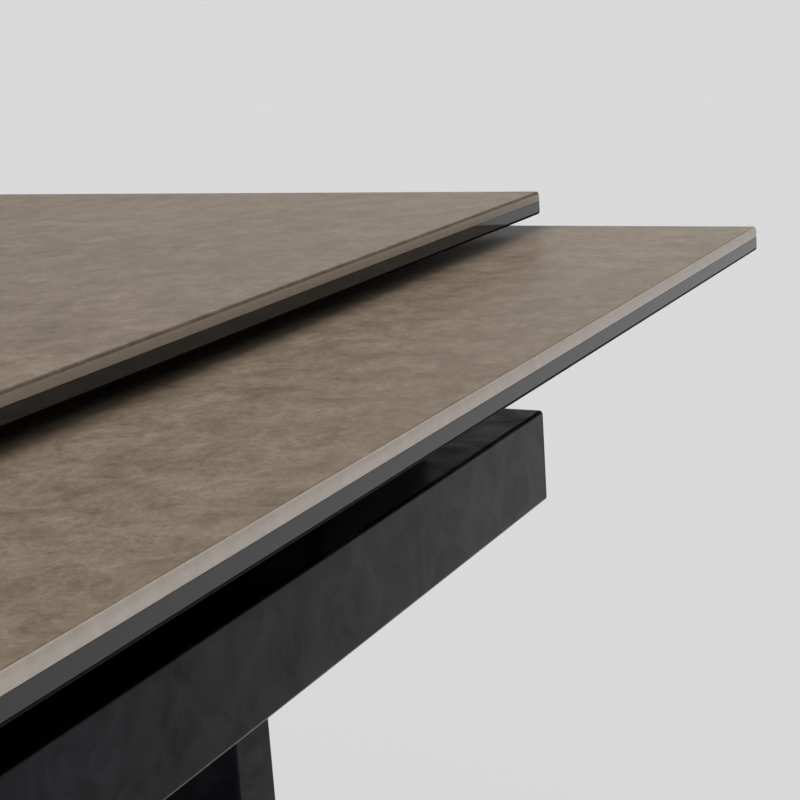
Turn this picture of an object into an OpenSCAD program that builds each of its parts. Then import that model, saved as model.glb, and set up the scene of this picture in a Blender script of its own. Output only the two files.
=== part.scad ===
// Extendable dining table: a fixed main top, one drawn leaf under each end,
// ball-bearing runners, a steel tube frame and two portal leg frames.
// The origin is on the floor under the table's centre: +X is right, +Y is back.

/* [Main top] */
// Length of the main top
top_l = 1600; // [1500:10:1800]
// Width of the main top and of both leaves
top_w = 900; // [860:10:1000]
// Height of the main top's face above the floor
table_h = 760; // [740:1:780]
// Thickness of the ceramic slab
ceramic_t = 5; // [3:0.5:6]
// Thickness of the dark glass under the ceramic
glass_t = 7; // [6:0.5:8]
// Radius of the slabs' vertical corners
corner_r = 3; // [1:0.5:6]

/* [Leaves] */
// Length of each leaf along the table
leaf_l = 400; // [370:5:400]
// How far each leaf stands drawn out, as modelled
leaf_out = 115; // [0:5:280]
// Free gap between a leaf's face and the main top's underside
leaf_gap = 6; // [4:0.5:8]
// How far a leaf's arms stop short of its outer edge
arm_setback = 70; // [60:5:100]
// Height of a leaf's arm
arm_h = 40; // [36:1:44]
// Width of a leaf's arm
arm_w = 20; // [16:1:24]

/* [Frame] */
// Height of the frame's tubes
tube_h = 50; // [40:1:60]
// Width of the frame's tubes
tube_w = 30; // [25:1:40]
// Wall thickness of the frame's tubes
tube_wall = 2; // [1.5:0.5:3]
// Outer corner radius of the frame's tubes
tube_r = 2; // [1:0.5:4]
// How far the frame's long sides stand in from the top's edge
frame_inset = 10; // [5:1:30]
// Height of the cross members that lie on the frame
cross_h = 30; // [25:1:35]
// Width of the cross members
cross_w = 50; // [40:1:60]
// Height of the slide rails
rail_h = 50; // [46:1:60]
// Free height between a slide rail and a leaf
rail_clear = 6; // [5:1:10]
// Distance from the table's middle to a slide rail's inner face
rail_y = 300; // [240:5:330]

/* [Runners] */
// Closed length of a runner
runner_l = 450; // [440:5:460]
// Distance from a closed runner's outer end to the main top's end
runner_setback = 70; // [60:5:90]
// Balls in one row of a cage
balls_per_row = 6; // [4:1:9]

/* [Legs] */
// Distance from the table's middle to a leg frame's middle
leg_x = 580; // [500:10:640]
// Width of the leg tubes along the table
leg_w = 60; // [50:5:80]
// Thickness of the leg tubes across the table
leg_t = 40; // [30:5:50]
// Height of a foot bar above the floor
foot_gap = 10; // [8:1:15]

/* [Hidden] */

stone = [0.49, 0.44, 0.37];
black_glass = [0.10, 0.10, 0.11];
black_steel = [0.13, 0.13, 0.14];
zinc = [0.72, 0.73, 0.75];
black_plastic = [0.06, 0.06, 0.06];

fine = 48;
eps = 0.5;
both = [-1, 1];

// Heights, from the main top's face down
slab_t = ceramic_t + glass_t;
top_under = table_h - slab_t;
leaf_top = top_under - leaf_gap;
leaf_under = leaf_top - slab_t;
rail_top = leaf_under - rail_clear;
rail_z = rail_top - rail_h;
cross_z = rail_z - cross_h;
ring_z = cross_z - tube_h;

// Main top's carriers
pad_t = 2;
bar_h = 13;
bar_w = 30;
bar_half = top_w / 2 - 50;
bar_x = top_l / 2 - 445;
bar_z = top_under - pad_t - bar_h;
bar_wall = 1.5;
spacer_h = bar_z - rail_top;
pad_l = 60;
pad_w = 20;
pad_ys = [-370, -140, 140, 370];

// Frame outline
frame_half_l = top_l / 2;
frame_half_w = top_w / 2 - frame_inset;
cap_t = 2;
cap_plug = 7;
cap_play = 0.1;
cross_outer_x = frame_half_l - 95;
cross_inner_x = frame_half_l - 495;
rail_w = 30;
rail_half_l = frame_half_l - 60;

// Bolts
bolt_r = 4;
bolt_play = 0.25;
head_r = 6.5;
head_h = 5;
bolt_grip = 40;
rail_bolt_y = rail_y + rail_w / 2;
frame_bolt_y = frame_half_w - tube_w / 2;

// Runners: half heights and depths from the slide rail's inner face
sheet = 1.8;
outer_half = 22.5;
outer_depth = 13;
lip = 4;
lip_t = 1.5;
ball_gap = 0.3;
outer_ball_r = 2.25;
outer_ball_d = 7.5;
outer_ball_z = outer_half - sheet - ball_gap - outer_ball_r;
middle_half = outer_ball_z - outer_ball_r - ball_gap;
middle_web_d = 3;
middle_depth = 11.5;
inner_ball_r = 2;
inner_ball_d = 8.5;
inner_ball_z = middle_half - sheet - ball_gap - inner_ball_r;
inner_half = inner_ball_z - inner_ball_r - ball_gap;
inner_from = 6.5;
inner_web_d = 12.5;
inner_to = 14.5;
runner_mid_z = rail_z + rail_h / 2;
runner_x = frame_half_l - runner_setback - runner_l;
cage_l = runner_l / 2;
cage_t = 0.6;
cage_arm_t = 1;
cage_start = (runner_l - cage_l) / 2;
outer_cage_web_d = 2.1;
outer_cage_to = 10.5;
inner_cage_web_d = 5.3;
inner_cage_to = 11.3;
hole_play = 0.2;
screw_r = 2;
screw_play = 0.1;
screw_head_r = 3.5;
screw_l = 10;
arm_head_h = 1.6;
runner_screw_xs = [25, 225, 425];
arm_screw_xs = [40, 240, 410];

// Leaf's carrier
arm_y = rail_y - inner_to;
arm_top = leaf_under - pad_t;
arm_z = arm_top - arm_h;
arm_wall = 1.5;
arm_r = 2;
arm_end_x = frame_half_l + leaf_out - arm_setback;
arm_l = arm_end_x - (runner_x + leaf_out) + 10;
tie_w = 30;
leaf_pad_xs = [20, 150, 280];

// Leg frames
head_bar_z = ring_z - leg_t;
bracket_t = 4;
bracket_l = 60;
bracket_h = 40;
bracket_bolt_x = 15;
leg_bolt_grip = 12;
head_bolt_y = frame_half_w - tube_w - bracket_l / 2;
foot_r = 20;
foot_pad_h = 6;
foot_nut_r = 7;
foot_stem = 26;
foot_y = frame_half_w - 40;

// Where a moving piece lies: its closed place plus its share of leaf_out
function drawn(share) = share * leaf_out;

// ---------------------------------------------------------------- shapes

// Rectangle with round corners, centred
module round_rect(w, h, r) {
    square([w - 2 * r, h], center = true);
    square([w, h - 2 * r], center = true);
    for (x = both, y = both) {
        translate([x * (w / 2 - r), y * (h / 2 - r)]) circle(r, $fn = fine);
    }
}

// Hollow section, centred
module tube_section(w, h, r, wall) {
    difference() {
        round_rect(w, h, r);
        round_rect(w - 2 * wall, h - 2 * wall, max(r - wall, 0.5));
    }
}

// Tube along X from x0, centred on y and z; w is across Y, h is up Z
module tube_x(l, w, h, r, wall) {
    rotate([90, 0, 90]) linear_extrude(l) tube_section(w, h, r, wall);
}

// Tube along Y, centred on its own middle; w is across X, h is up Z
module tube_y(l, w, h, r, wall) {
    rotate([90, 0, 0]) linear_extrude(l, center = true) tube_section(w, h, r, wall);
}

// Slab with round vertical corners from x0 to x1
module slab(x0, x1, z0, t) {
    translate([(x0 + x1) / 2, 0, z0]) linear_extrude(t) round_rect(x1 - x0, top_w, corner_r);
}

// Mirrors what is drawn for the right end to the left end when side is -1
module to_side(side) {
    if (side > 0) children();
    else mirror([1, 0, 0]) children();
}

// Mirrors what is drawn for the back to the front when row is -1
module to_row(row) {
    if (row > 0) children();
    else mirror([0, 1, 0]) children();
}

// Bolt with its head's underside at the origin and its shank down
module bolt(grip) {
    cylinder(h = head_h, r = head_r, $fn = 6);
    translate([0, 0, -grip]) cylinder(h = grip, r = bolt_r, $fn = fine);
}

// Clearance hole for a bolt's shank, down from the origin
module bolt_hole(depth) {
    translate([0, 0, -depth]) cylinder(h = depth + eps, r = bolt_r + bolt_play, $fn = fine);
}

// ---------------------------------------------------------------- main top

module main_top_ceramic() {
    color(stone) slab(-top_l / 2, top_l / 2, table_h - ceramic_t, ceramic_t);
}

module main_top_glass() {
    color(black_glass) slab(-top_l / 2, top_l / 2, top_under, glass_t);
}

module top_bonding_pads() {
    color(black_plastic) for (side = both, y = pad_ys) {
        translate([side * bar_x - pad_w / 2, y - pad_l / 2, top_under - pad_t])
            cube([pad_w, pad_l, pad_t]);
    }
}

module top_bar(side) {
    color(black_steel) translate([side * bar_x, 0, bar_z + bar_h / 2])
        tube_y(2 * bar_half, bar_w, bar_h, arm_r, bar_wall);
}

module top_bar_spacers() {
    color(black_plastic) for (side = both, row = both) {
        translate([side * bar_x - bar_w / 2, row * rail_bolt_y - rail_w / 2, rail_top])
            cube([bar_w, rail_w, spacer_h]);
    }
}

// ---------------------------------------------------------------- frame

module end_beam(side) {
    color(black_steel) translate([side * (frame_half_l - tube_w / 2), 0, ring_z + tube_h / 2])
        tube_y(2 * (frame_half_w - cap_t), tube_w, tube_h, tube_r, tube_wall);
}

// Plug for a tube end that faces +Y: a flange flush with the tube and a stub inside it
module end_cap(w, h) {
    plug_w = w - 2 * tube_wall - 2 * cap_play;
    plug_h = h - 2 * tube_wall - 2 * cap_play;
    translate([0, -cap_t, 0]) rotate([-90, 0, 0]) linear_extrude(cap_t) round_rect(w, h, tube_r);
    translate([0, -cap_t - cap_plug, 0]) rotate([-90, 0, 0]) linear_extrude(cap_plug)
        round_rect(plug_w, plug_h, 1);
}

// Plugs of the end beams, the cross members and the slide rails
module frame_end_caps() {
    color(black_plastic) for (side = both, row = both) {
        to_row(row) translate([side * (frame_half_l - tube_w / 2), frame_half_w, ring_z + tube_h / 2])
            end_cap(tube_w, tube_h);
        for (x = [cross_inner_x, cross_outer_x]) {
            to_row(row) translate([side * x, frame_half_w, cross_z + cross_h / 2]) end_cap(cross_w, cross_h);
        }
        to_side(side) translate([rail_half_l, row * rail_bolt_y, rail_z + rail_h / 2])
            rotate([0, 0, -90]) end_cap(rail_w, rail_h);
    }
}

module side_rail(row) {
    length = 2 * (frame_half_l - tube_w);
    color(black_steel) difference() {
        translate([-length / 2, row * frame_bolt_y, ring_z + tube_h / 2])
            tube_x(length, tube_w, tube_h, tube_r, tube_wall);
        for (side = both, x = [cross_inner_x, cross_outer_x]) {
            translate([side * x, row * frame_bolt_y, cross_z]) bolt_hole(tube_h / 2);
        }
        for (side = both, x = both) {
            translate([side * leg_x + x * bracket_bolt_x, row * (frame_half_w - tube_w), ring_z + tube_h / 2])
                rotate([row * 90, 0, 0]) bolt_hole(tube_w / 2);
        }
    }
}

module cross_member(x) {
    color(black_steel) difference() {
        translate([x, 0, cross_z + cross_h / 2])
            tube_y(2 * (frame_half_w - cap_t), cross_w, cross_h, tube_r, tube_wall);
        for (row = both, y = [rail_bolt_y, frame_bolt_y]) {
            translate([x, row * y, cross_z + cross_h]) bolt_hole(cross_h + eps);
        }
    }
}

module slide_rail(row) {
    color(black_steel) difference() {
        translate([cap_t - rail_half_l, row * rail_bolt_y, rail_z + rail_h / 2])
            tube_x(2 * (rail_half_l - cap_t), rail_w, rail_h, tube_r, tube_wall);
        for (side = both, x = [cross_inner_x, cross_outer_x]) {
            translate([side * x, row * rail_bolt_y, rail_z + rail_h / 2]) bolt_hole(rail_h / 2 + eps);
        }
        for (side = both, x = runner_screw_xs) {
            to_side(side) to_row(row) translate([runner_x + x, rail_y, runner_mid_z]) rotate([-90, 0, 0])
                translate([0, 0, -eps]) cylinder(h = rail_w / 2, r = screw_r + screw_play, $fn = fine);
        }
    }
}

// Rubber blocks that an arm's inner end closes against
module stop_buffers() {
    buffer_l = 12;
    buffer_gap = 2;
    color(black_plastic) for (side = both, row = both) {
        to_side(side) to_row(row)
            translate([arm_end_x - leaf_out - arm_l - buffer_gap - buffer_l, arm_y - arm_w, arm_z + 6])
                cube([buffer_l, rail_y - arm_y + arm_w, 24]);
    }
}

module frame_bolts() {
    color(zinc) for (side = both, row = both, x = [cross_inner_x, cross_outer_x]) {
        translate([side * x, row * frame_bolt_y, cross_z + cross_h]) bolt(bolt_grip);
        translate([side * x, row * rail_bolt_y, cross_z]) mirror([0, 0, 1]) bolt(bolt_grip);
    }
}

// ---------------------------------------------------------------- legs

module head_bar(side) {
    color(black_steel) difference() {
        translate([side * leg_x, 0, head_bar_z + leg_t / 2])
            tube_y(2 * (frame_half_w - cap_t), leg_w, leg_t, tube_r, tube_wall);
        for (row = both, x = both) {
            translate([side * leg_x + x * bracket_bolt_x, row * head_bolt_y, ring_z]) bolt_hole(leg_t / 2);
        }
    }
}

module foot_bar(side) {
    color(black_steel) difference() {
        translate([side * leg_x, 0, foot_gap + leg_t / 2])
            tube_y(2 * (frame_half_w - cap_t), leg_w, leg_t, tube_r, tube_wall);
        for (row = both) {
            translate([side * leg_x, row * foot_y, foot_gap + leg_t / 2]) bolt_hole(leg_t / 2 + eps);
        }
    }
}

module upright(side, row) {
    upright_h = head_bar_z - foot_gap - leg_t;
    color(black_steel) translate([side * leg_x, row * (frame_half_w - leg_t / 2), foot_gap + leg_t])
        linear_extrude(upright_h) tube_section(leg_w, leg_t, tube_r, tube_wall);
}

// Plugs of the head bars and the foot bars
module leg_end_caps() {
    color(black_plastic) for (side = both, row = both, z = [head_bar_z, foot_gap]) {
        to_row(row) translate([side * leg_x, frame_half_w, z + leg_t / 2]) end_cap(leg_w, leg_t);
    }
}

// Angle plates that join each head bar to the side rails
module leg_brackets() {
    color(black_steel) for (side = both, row = both) {
        to_row(row) translate([side * leg_x - leg_w / 2, frame_half_w - tube_w, ring_z]) difference() {
            union() {
                translate([0, -bracket_l, 0]) cube([leg_w, bracket_l, bracket_t]);
                translate([0, -bracket_t, 0]) cube([leg_w, bracket_t, bracket_h]);
            }
            for (x = both) {
                translate([leg_w / 2 + x * bracket_bolt_x, -bracket_l / 2, bracket_t])
                    bolt_hole(bracket_t + eps);
                translate([leg_w / 2 + x * bracket_bolt_x, -bracket_t, tube_h / 2]) rotate([90, 0, 0])
                    bolt_hole(bracket_t + eps);
            }
        }
    }
}

module leg_bolts() {
    color(zinc) for (side = both, row = both, x = both) {
        to_row(row) translate([side * leg_x + x * bracket_bolt_x, frame_half_w - tube_w, ring_z]) {
            translate([0, -bracket_l / 2, bracket_t]) bolt(leg_bolt_grip);
            translate([0, -bracket_t, tube_h / 2]) rotate([90, 0, 0]) bolt(leg_bolt_grip);
        }
    }
}

module levelling_feet() {
    color(black_plastic) for (side = both, row = both) {
        translate([side * leg_x, row * foot_y, 0]) {
            cylinder(h = foot_pad_h, r = foot_r, $fn = fine);
            translate([0, 0, foot_pad_h]) cylinder(h = foot_gap - foot_pad_h, r = foot_nut_r, $fn = 6);
            translate([0, 0, foot_gap]) cylinder(h = foot_stem - foot_gap, r = bolt_r, $fn = fine);
        }
    }
}

// ---------------------------------------------------------------- runners

// A member's or cage's cross section is drawn in (depth, height) and carried to a place
// at the back right: depth runs from the slide rail's inner face towards the table's middle
module along_runner(x0, l) {
    translate([x0, rail_y, runner_mid_z]) rotate([90, 0, 90]) linear_extrude(l) mirror([1, 0]) children();
}

// A hole or screw across the runner at distance x from its inner end
module across_runner(x) {
    translate([x, rail_y, runner_mid_z]) rotate([90, 0, 0]) children();
}

// Channel from depth d0 to d1, with its web at d0
module channel(d0, d1, half, web) {
    translate([d0, -half]) square([web, 2 * half]);
    translate([d0, half - web]) square([d1 - d0, web]);
    translate([d0, -half]) square([d1 - d0, web]);
}

module runner_outer(side, row) {
    color(zinc) to_side(side) to_row(row) difference() {
        along_runner(runner_x, runner_l) {
            channel(0, outer_depth, outer_half, sheet);
            for (z = [outer_half - lip, -outer_half]) {
                translate([outer_depth - lip_t, z]) square([lip_t, lip]);
            }
        }
        for (x = runner_screw_xs) {
            across_runner(runner_x + x) {
                translate([0, 0, -eps]) cylinder(h = sheet + 2 * eps, r = screw_r + screw_play, $fn = fine);
                cylinder(h = sheet + eps, r1 = screw_r + screw_play, r2 = screw_head_r + eps, $fn = fine);
            }
        }
    }
}

module runner_middle() {
    along_runner(runner_x + drawn(0.5), runner_l) channel(middle_web_d, middle_depth, middle_half, sheet);
}

module runner_inner() {
    x0 = runner_x + drawn(1);
    difference() {
        along_runner(x0, runner_l) {
            translate([inner_web_d, -inner_half]) square([inner_to - inner_web_d, 2 * inner_half]);
            for (z = [inner_half - sheet, -inner_half]) {
                translate([inner_from, z]) square([inner_to - inner_from, sheet]);
            }
        }
        for (x = arm_screw_xs) {
            across_runner(x0 + x) cylinder(h = inner_to + eps, r = screw_r + screw_play, $fn = fine);
        }
    }
}

// Cage strip with its two rows of balls
module ball_cage(x0, web_d, to_d, ball_d, ball_z, ball_r) {
    pitch = cage_l / balls_per_row;
    difference() {
        along_runner(x0, cage_l) {
            translate([web_d, -ball_z - cage_arm_t / 2]) square([cage_t, 2 * ball_z + cage_arm_t]);
            for (z = [-ball_z, ball_z]) {
                translate([web_d, z - cage_arm_t / 2]) square([to_d - web_d, cage_arm_t]);
            }
        }
        for (i = [0 : balls_per_row - 1]) {
            translate([x0 + (i + 0.5) * pitch, rail_y - ball_d, runner_mid_z - ball_z - ball_r])
                cylinder(h = 2 * (ball_z + ball_r), r = ball_r + hole_play, $fn = fine);
        }
    }
    for (i = [0 : balls_per_row - 1], z = both) {
        translate([x0 + (i + 0.5) * pitch, rail_y - ball_d, runner_mid_z + z * ball_z])
            sphere(ball_r, $fn = fine);
    }
}

module outer_cage() {
    ball_cage(runner_x + cage_start + drawn(0.25), outer_cage_web_d, outer_cage_to,
        outer_ball_d, outer_ball_z, outer_ball_r);
}

module inner_cage() {
    ball_cage(runner_x + cage_start + drawn(0.75), inner_cage_web_d, inner_cage_to,
        inner_ball_d, inner_ball_z, inner_ball_r);
}

// Draws a piece for the front and the back runner of one end
module pair(side) {
    for (row = both) to_side(side) to_row(row) children();
}

module runner_middles(side) {
    color(zinc) pair(side) runner_middle();
}

module runner_inners(side) {
    color(zinc) pair(side) runner_inner();
}

module outer_cages(side) {
    color(zinc) pair(side) outer_cage();
}

module inner_cages(side) {
    color(zinc) pair(side) inner_cage();
}

// Countersunk screws that hold the outer members on the slide rails
module runner_screws() {
    color(zinc) for (side = both) {
        pair(side) for (x = runner_screw_xs) {
            across_runner(runner_x + x) {
                translate([0, 0, -screw_l]) cylinder(h = screw_l, r = screw_r, $fn = fine);
                cylinder(h = sheet, r1 = screw_r, r2 = screw_head_r, $fn = fine);
            }
        }
    }
}

// ---------------------------------------------------------------- leaves

module leaf_slab(side, z0, t) {
    outer_x = frame_half_l + leaf_out;
    to_side(side) slab(outer_x - leaf_l, outer_x, z0, t);
}

module leaf_ceramic(side) {
    color(stone) leaf_slab(side, leaf_top - ceramic_t, ceramic_t);
}

module leaf_glass(side) {
    color(black_glass) leaf_slab(side, leaf_under, glass_t);
}

module leaf_pads(side) {
    inner_x = frame_half_l + leaf_out - leaf_l;
    color(black_plastic) pair(side) for (x = leaf_pad_xs) {
        translate([inner_x + x, arm_y - arm_w + 2, arm_top]) cube([40, arm_w - 4, pad_t]);
    }
}

module leaf_arm(side, row) {
    color(black_steel) to_side(side) to_row(row) difference() {
        translate([arm_end_x - arm_l, arm_y - arm_w / 2, arm_z + arm_h / 2])
            tube_x(arm_l, arm_w, arm_h, arm_r, arm_wall);
        for (x = arm_screw_xs) {
            across_runner(runner_x + drawn(1) + x)
                cylinder(h = inner_to + arm_w / 2, r = screw_r + screw_play, $fn = fine);
        }
    }
}

// Tie between the arms' inner ends
module tie_bar(side) {
    to_side(side) color(black_steel)
        translate([arm_end_x - arm_l + tie_w / 2, 0, arm_z + arm_h / 2])
            tube_y(2 * (arm_y - arm_w), tie_w, arm_h, arm_r, arm_wall);
}

// Plugs in both ends of each arm
module arm_caps(side) {
    plug_w = arm_w - 2 * arm_wall - 2 * cap_play;
    plug_h = arm_h - 2 * arm_wall - 2 * cap_play;
    plug_l = 8;
    color(black_plastic) pair(side) for (end = [0, 1]) {
        translate([arm_end_x - arm_l + end * (arm_l - plug_l), arm_y - arm_w / 2, arm_z + arm_h / 2])
            rotate([90, 0, 90]) linear_extrude(plug_l) round_rect(plug_w, plug_h, 0.5);
    }
}

module arm_screws(side) {
    color(zinc) pair(side) for (x = arm_screw_xs) {
        across_runner(runner_x + drawn(1) + x) {
            translate([0, 0, inner_web_d - arm_head_h])
                cylinder(h = arm_head_h, r = screw_head_r, $fn = fine);
            translate([0, 0, inner_web_d]) cylinder(h = screw_l, r = screw_r, $fn = fine);
        }
    }
}

// ---------------------------------------------------------------- nodes

main_top_ceramic();
main_top_glass();
top_bonding_pads();
top_bar(1);  // top_bar_right
top_bar(-1);  // top_bar_left
top_bar_spacers();
end_beam(1);  // end_beam_right
end_beam(-1);  // end_beam_left
frame_end_caps();
side_rail(-1);  // side_rail_front
side_rail(1);  // side_rail_back
cross_member(cross_outer_x);  // cross_member_right_outer
cross_member(cross_inner_x);  // cross_member_right_inner
cross_member(-cross_inner_x);  // cross_member_left_inner
cross_member(-cross_outer_x);  // cross_member_left_outer
slide_rail(-1);  // slide_rail_front
slide_rail(1);  // slide_rail_back
stop_buffers();
frame_bolts();
head_bar(1);  // right_head_bar
foot_bar(1);  // right_foot_bar
upright(1, -1);  // right_upright_front
upright(1, 1);  // right_upright_back
head_bar(-1);  // left_head_bar
foot_bar(-1);  // left_foot_bar
upright(-1, -1);  // left_upright_front
upright(-1, 1);  // left_upright_back
leg_end_caps();
leg_brackets();
leg_bolts();
levelling_feet();
runner_screws();
runner_outer(1, -1);  // right_runner_outer_front
runner_outer(1, 1);  // right_runner_outer_back
runner_middles(1);  // right_runner_middles
runner_inners(1);  // right_runner_inners
outer_cages(1);  // right_outer_cages
inner_cages(1);  // right_inner_cages
runner_outer(-1, -1);  // left_runner_outer_front
runner_outer(-1, 1);  // left_runner_outer_back
runner_middles(-1);  // left_runner_middles
runner_inners(-1);  // left_runner_inners
outer_cages(-1);  // left_outer_cages
inner_cages(-1);  // left_inner_cages
leaf_ceramic(1);  // right_leaf_ceramic
leaf_glass(1);  // right_leaf_glass
leaf_pads(1);  // right_leaf_pads
leaf_arm(1, -1);  // right_arm_front
leaf_arm(1, 1);  // right_arm_back
tie_bar(1);  // right_tie_bar
arm_caps(1);  // right_arm_caps
arm_screws(1);  // right_arm_screws
leaf_ceramic(-1);  // left_leaf_ceramic
leaf_glass(-1);  // left_leaf_glass
leaf_pads(-1);  // left_leaf_pads
leaf_arm(-1, -1);  // left_arm_front
leaf_arm(-1, 1);  // left_arm_back
tie_bar(-1);  // left_tie_bar
arm_caps(-1);  // left_arm_caps
arm_screws(-1);  // left_arm_screws
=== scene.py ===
"""Looks of an extendable dining table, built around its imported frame."""

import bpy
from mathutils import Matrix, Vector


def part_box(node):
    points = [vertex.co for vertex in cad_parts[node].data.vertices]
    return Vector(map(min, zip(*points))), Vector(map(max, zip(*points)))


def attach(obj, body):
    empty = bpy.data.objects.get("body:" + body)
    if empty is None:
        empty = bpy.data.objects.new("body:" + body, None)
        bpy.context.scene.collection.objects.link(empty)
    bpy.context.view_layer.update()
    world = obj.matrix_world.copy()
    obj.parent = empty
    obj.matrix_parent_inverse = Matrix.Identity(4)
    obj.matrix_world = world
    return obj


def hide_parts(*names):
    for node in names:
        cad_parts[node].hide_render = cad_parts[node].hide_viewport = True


bl_info = {
    "name": "Extendable Dining Table",
    "version": (1, 0, 0),
    "blender": (4, 5, 0),
    "location": "View3D > Sidebar > Dining Table",
    "description": "Ceramic-topped dining table with a leaf drawn from under each end",
    "category": "Add Mesh",
}

import math

import bmesh
import bpy
from mathutils import Matrix, Vector

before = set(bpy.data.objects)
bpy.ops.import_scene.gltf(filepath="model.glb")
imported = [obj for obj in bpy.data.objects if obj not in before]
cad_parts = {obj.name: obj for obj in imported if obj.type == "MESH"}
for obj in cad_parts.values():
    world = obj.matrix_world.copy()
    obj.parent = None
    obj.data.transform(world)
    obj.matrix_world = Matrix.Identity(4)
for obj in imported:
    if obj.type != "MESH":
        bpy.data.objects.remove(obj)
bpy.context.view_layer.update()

# The table's ends and its two rows of runners, with the side of the middle each lies on
ENDS = {"right": 1, "left": -1}
ROWS = {"front": -1, "back": 1}
MM = 0.001
SAME_POINT = 0.02 * MM
LEAST_CORNER = 0.3 * MM
SHARP = math.radians(40)


# ---------------------------------------------------------------- settings


class SlabSettings(bpy.types.PropertyGroup):
    """Edges of the main top and the leaves"""

    corner_radius: bpy.props.FloatProperty(
        name="Corner Radius", description="Radius of a slab's vertical corners",
        default=0.0015, min=0.0, subtype="DISTANCE", unit="LENGTH")
    ceramic_ease: bpy.props.FloatProperty(
        name="Ceramic Ease", description="How far the ceramic's rounded top edge reaches in",
        default=0.0013, min=0.0, subtype="DISTANCE", unit="LENGTH")
    ceramic_fall: bpy.props.FloatProperty(
        name="Ceramic Fall", description="How far the ceramic's rounded top edge reaches down",
        default=0.0028, min=0.0, subtype="DISTANCE", unit="LENGTH")
    main_print: bpy.props.FloatProperty(
        name="Main Top Print", description="How far the stone print runs down the main top's edge",
        default=0.0012, min=0.0, subtype="DISTANCE", unit="LENGTH")
    leaf_print: bpy.props.FloatProperty(
        name="Leaf Print", description="How far the stone print runs down a leaf's edge",
        default=0.0002, min=0.0, subtype="DISTANCE", unit="LENGTH")
    glass_round: bpy.props.FloatProperty(
        name="Glass Round", description="Radius of the glass's lower edge",
        default=0.0016, min=0.0, subtype="DISTANCE", unit="LENGTH")
    seam: bpy.props.FloatProperty(
        name="Seam", description="Width of the fine groove between ceramic and glass",
        default=0.0001, min=0.0, subtype="DISTANCE", unit="LENGTH")


class FrameSettings(bpy.types.PropertyGroup):
    """Welds, fastenings and plastic parts"""

    weld_size: bpy.props.FloatProperty(
        name="Weld Size", description="Leg length of a weld bead",
        default=0.0032, min=0.001, subtype="DISTANCE", unit="LENGTH")
    weld_ripple: bpy.props.FloatProperty(
        name="Weld Ripple", description="Distance between two ripples of a weld bead",
        default=0.0022, min=0.001, subtype="DISTANCE", unit="LENGTH")
    thread_pitch: bpy.props.FloatProperty(
        name="Thread Pitch", description="Distance between two turns of a bolt's thread",
        default=0.00125, min=0.0005, subtype="DISTANCE", unit="LENGTH")
    thread_depth: bpy.props.FloatProperty(
        name="Thread Depth", description="Depth of a bolt's thread",
        default=0.0006, min=0.0, subtype="DISTANCE", unit="LENGTH")
    moulded_edge: bpy.props.FloatProperty(
        name="Moulded Edge", description="Edge radius of plastic and rubber parts",
        default=0.0006, min=0.0, subtype="DISTANCE", unit="LENGTH")


class FinishSettings(bpy.types.PropertyGroup):
    """Colours of the finishes"""

    stone_dark: bpy.props.FloatVectorProperty(
        name="Stone Dark", description="Dark clouds of the ceramic face",
        subtype="COLOR", size=4, min=0.0, max=1.0, default=(0.168, 0.122, 0.074, 1.0))
    stone_mid: bpy.props.FloatVectorProperty(
        name="Stone Middle", description="Main tone of the ceramic face",
        subtype="COLOR", size=4, min=0.0, max=1.0, default=(0.250, 0.190, 0.130, 1.0))
    stone_light: bpy.props.FloatVectorProperty(
        name="Stone Light", description="Light clouds of the ceramic face",
        subtype="COLOR", size=4, min=0.0, max=1.0, default=(0.345, 0.273, 0.198, 1.0))
    leaf_body: bpy.props.FloatVectorProperty(
        name="Leaf Body", description="Ground edge of a leaf's ceramic",
        subtype="COLOR", size=4, min=0.0, max=1.0, default=(0.76, 0.67, 0.59, 1.0))
    # The main top's body colour is the leaf's body colour darkened: painted shade where the leaf below
    # keeps the floor's light off the main top's edge.
    main_body: bpy.props.FloatVectorProperty(
        name="Main Top Body", description="Ground edge of the main top's ceramic",
        subtype="COLOR", size=4, min=0.0, max=1.0, default=(0.58, 0.49, 0.40, 1.0))
    glass: bpy.props.FloatVectorProperty(
        name="Dark Glass", description="Back-painted glass",
        subtype="COLOR", size=4, min=0.0, max=1.0, default=(0.0030, 0.0033, 0.0062, 1.0))
    coat: bpy.props.FloatVectorProperty(
        name="Powder Coat", description="Black powder coat of the steel tubes",
        subtype="COLOR", size=4, min=0.0, max=1.0, default=(0.0030, 0.0030, 0.0048, 1.0))
    sheen_tint: bpy.props.FloatVectorProperty(
        name="Sheen Tint", description="Cool tint of the reflections on black coat and glass",
        subtype="COLOR", size=4, min=0.0, max=1.0, default=(0.87, 0.87, 1.0, 1.0))
    zinc: bpy.props.FloatVectorProperty(
        name="Zinc", description="Zinc plating of runners, bolts and screws",
        subtype="COLOR", size=4, min=0.0, max=1.0, default=(0.60, 0.61, 0.63, 1.0))
    plastic: bpy.props.FloatVectorProperty(
        name="Plastic", description="Black moulded plastic and rubber",
        subtype="COLOR", size=4, min=0.0, max=1.0, default=(0.0075, 0.0075, 0.0085, 1.0))


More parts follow.
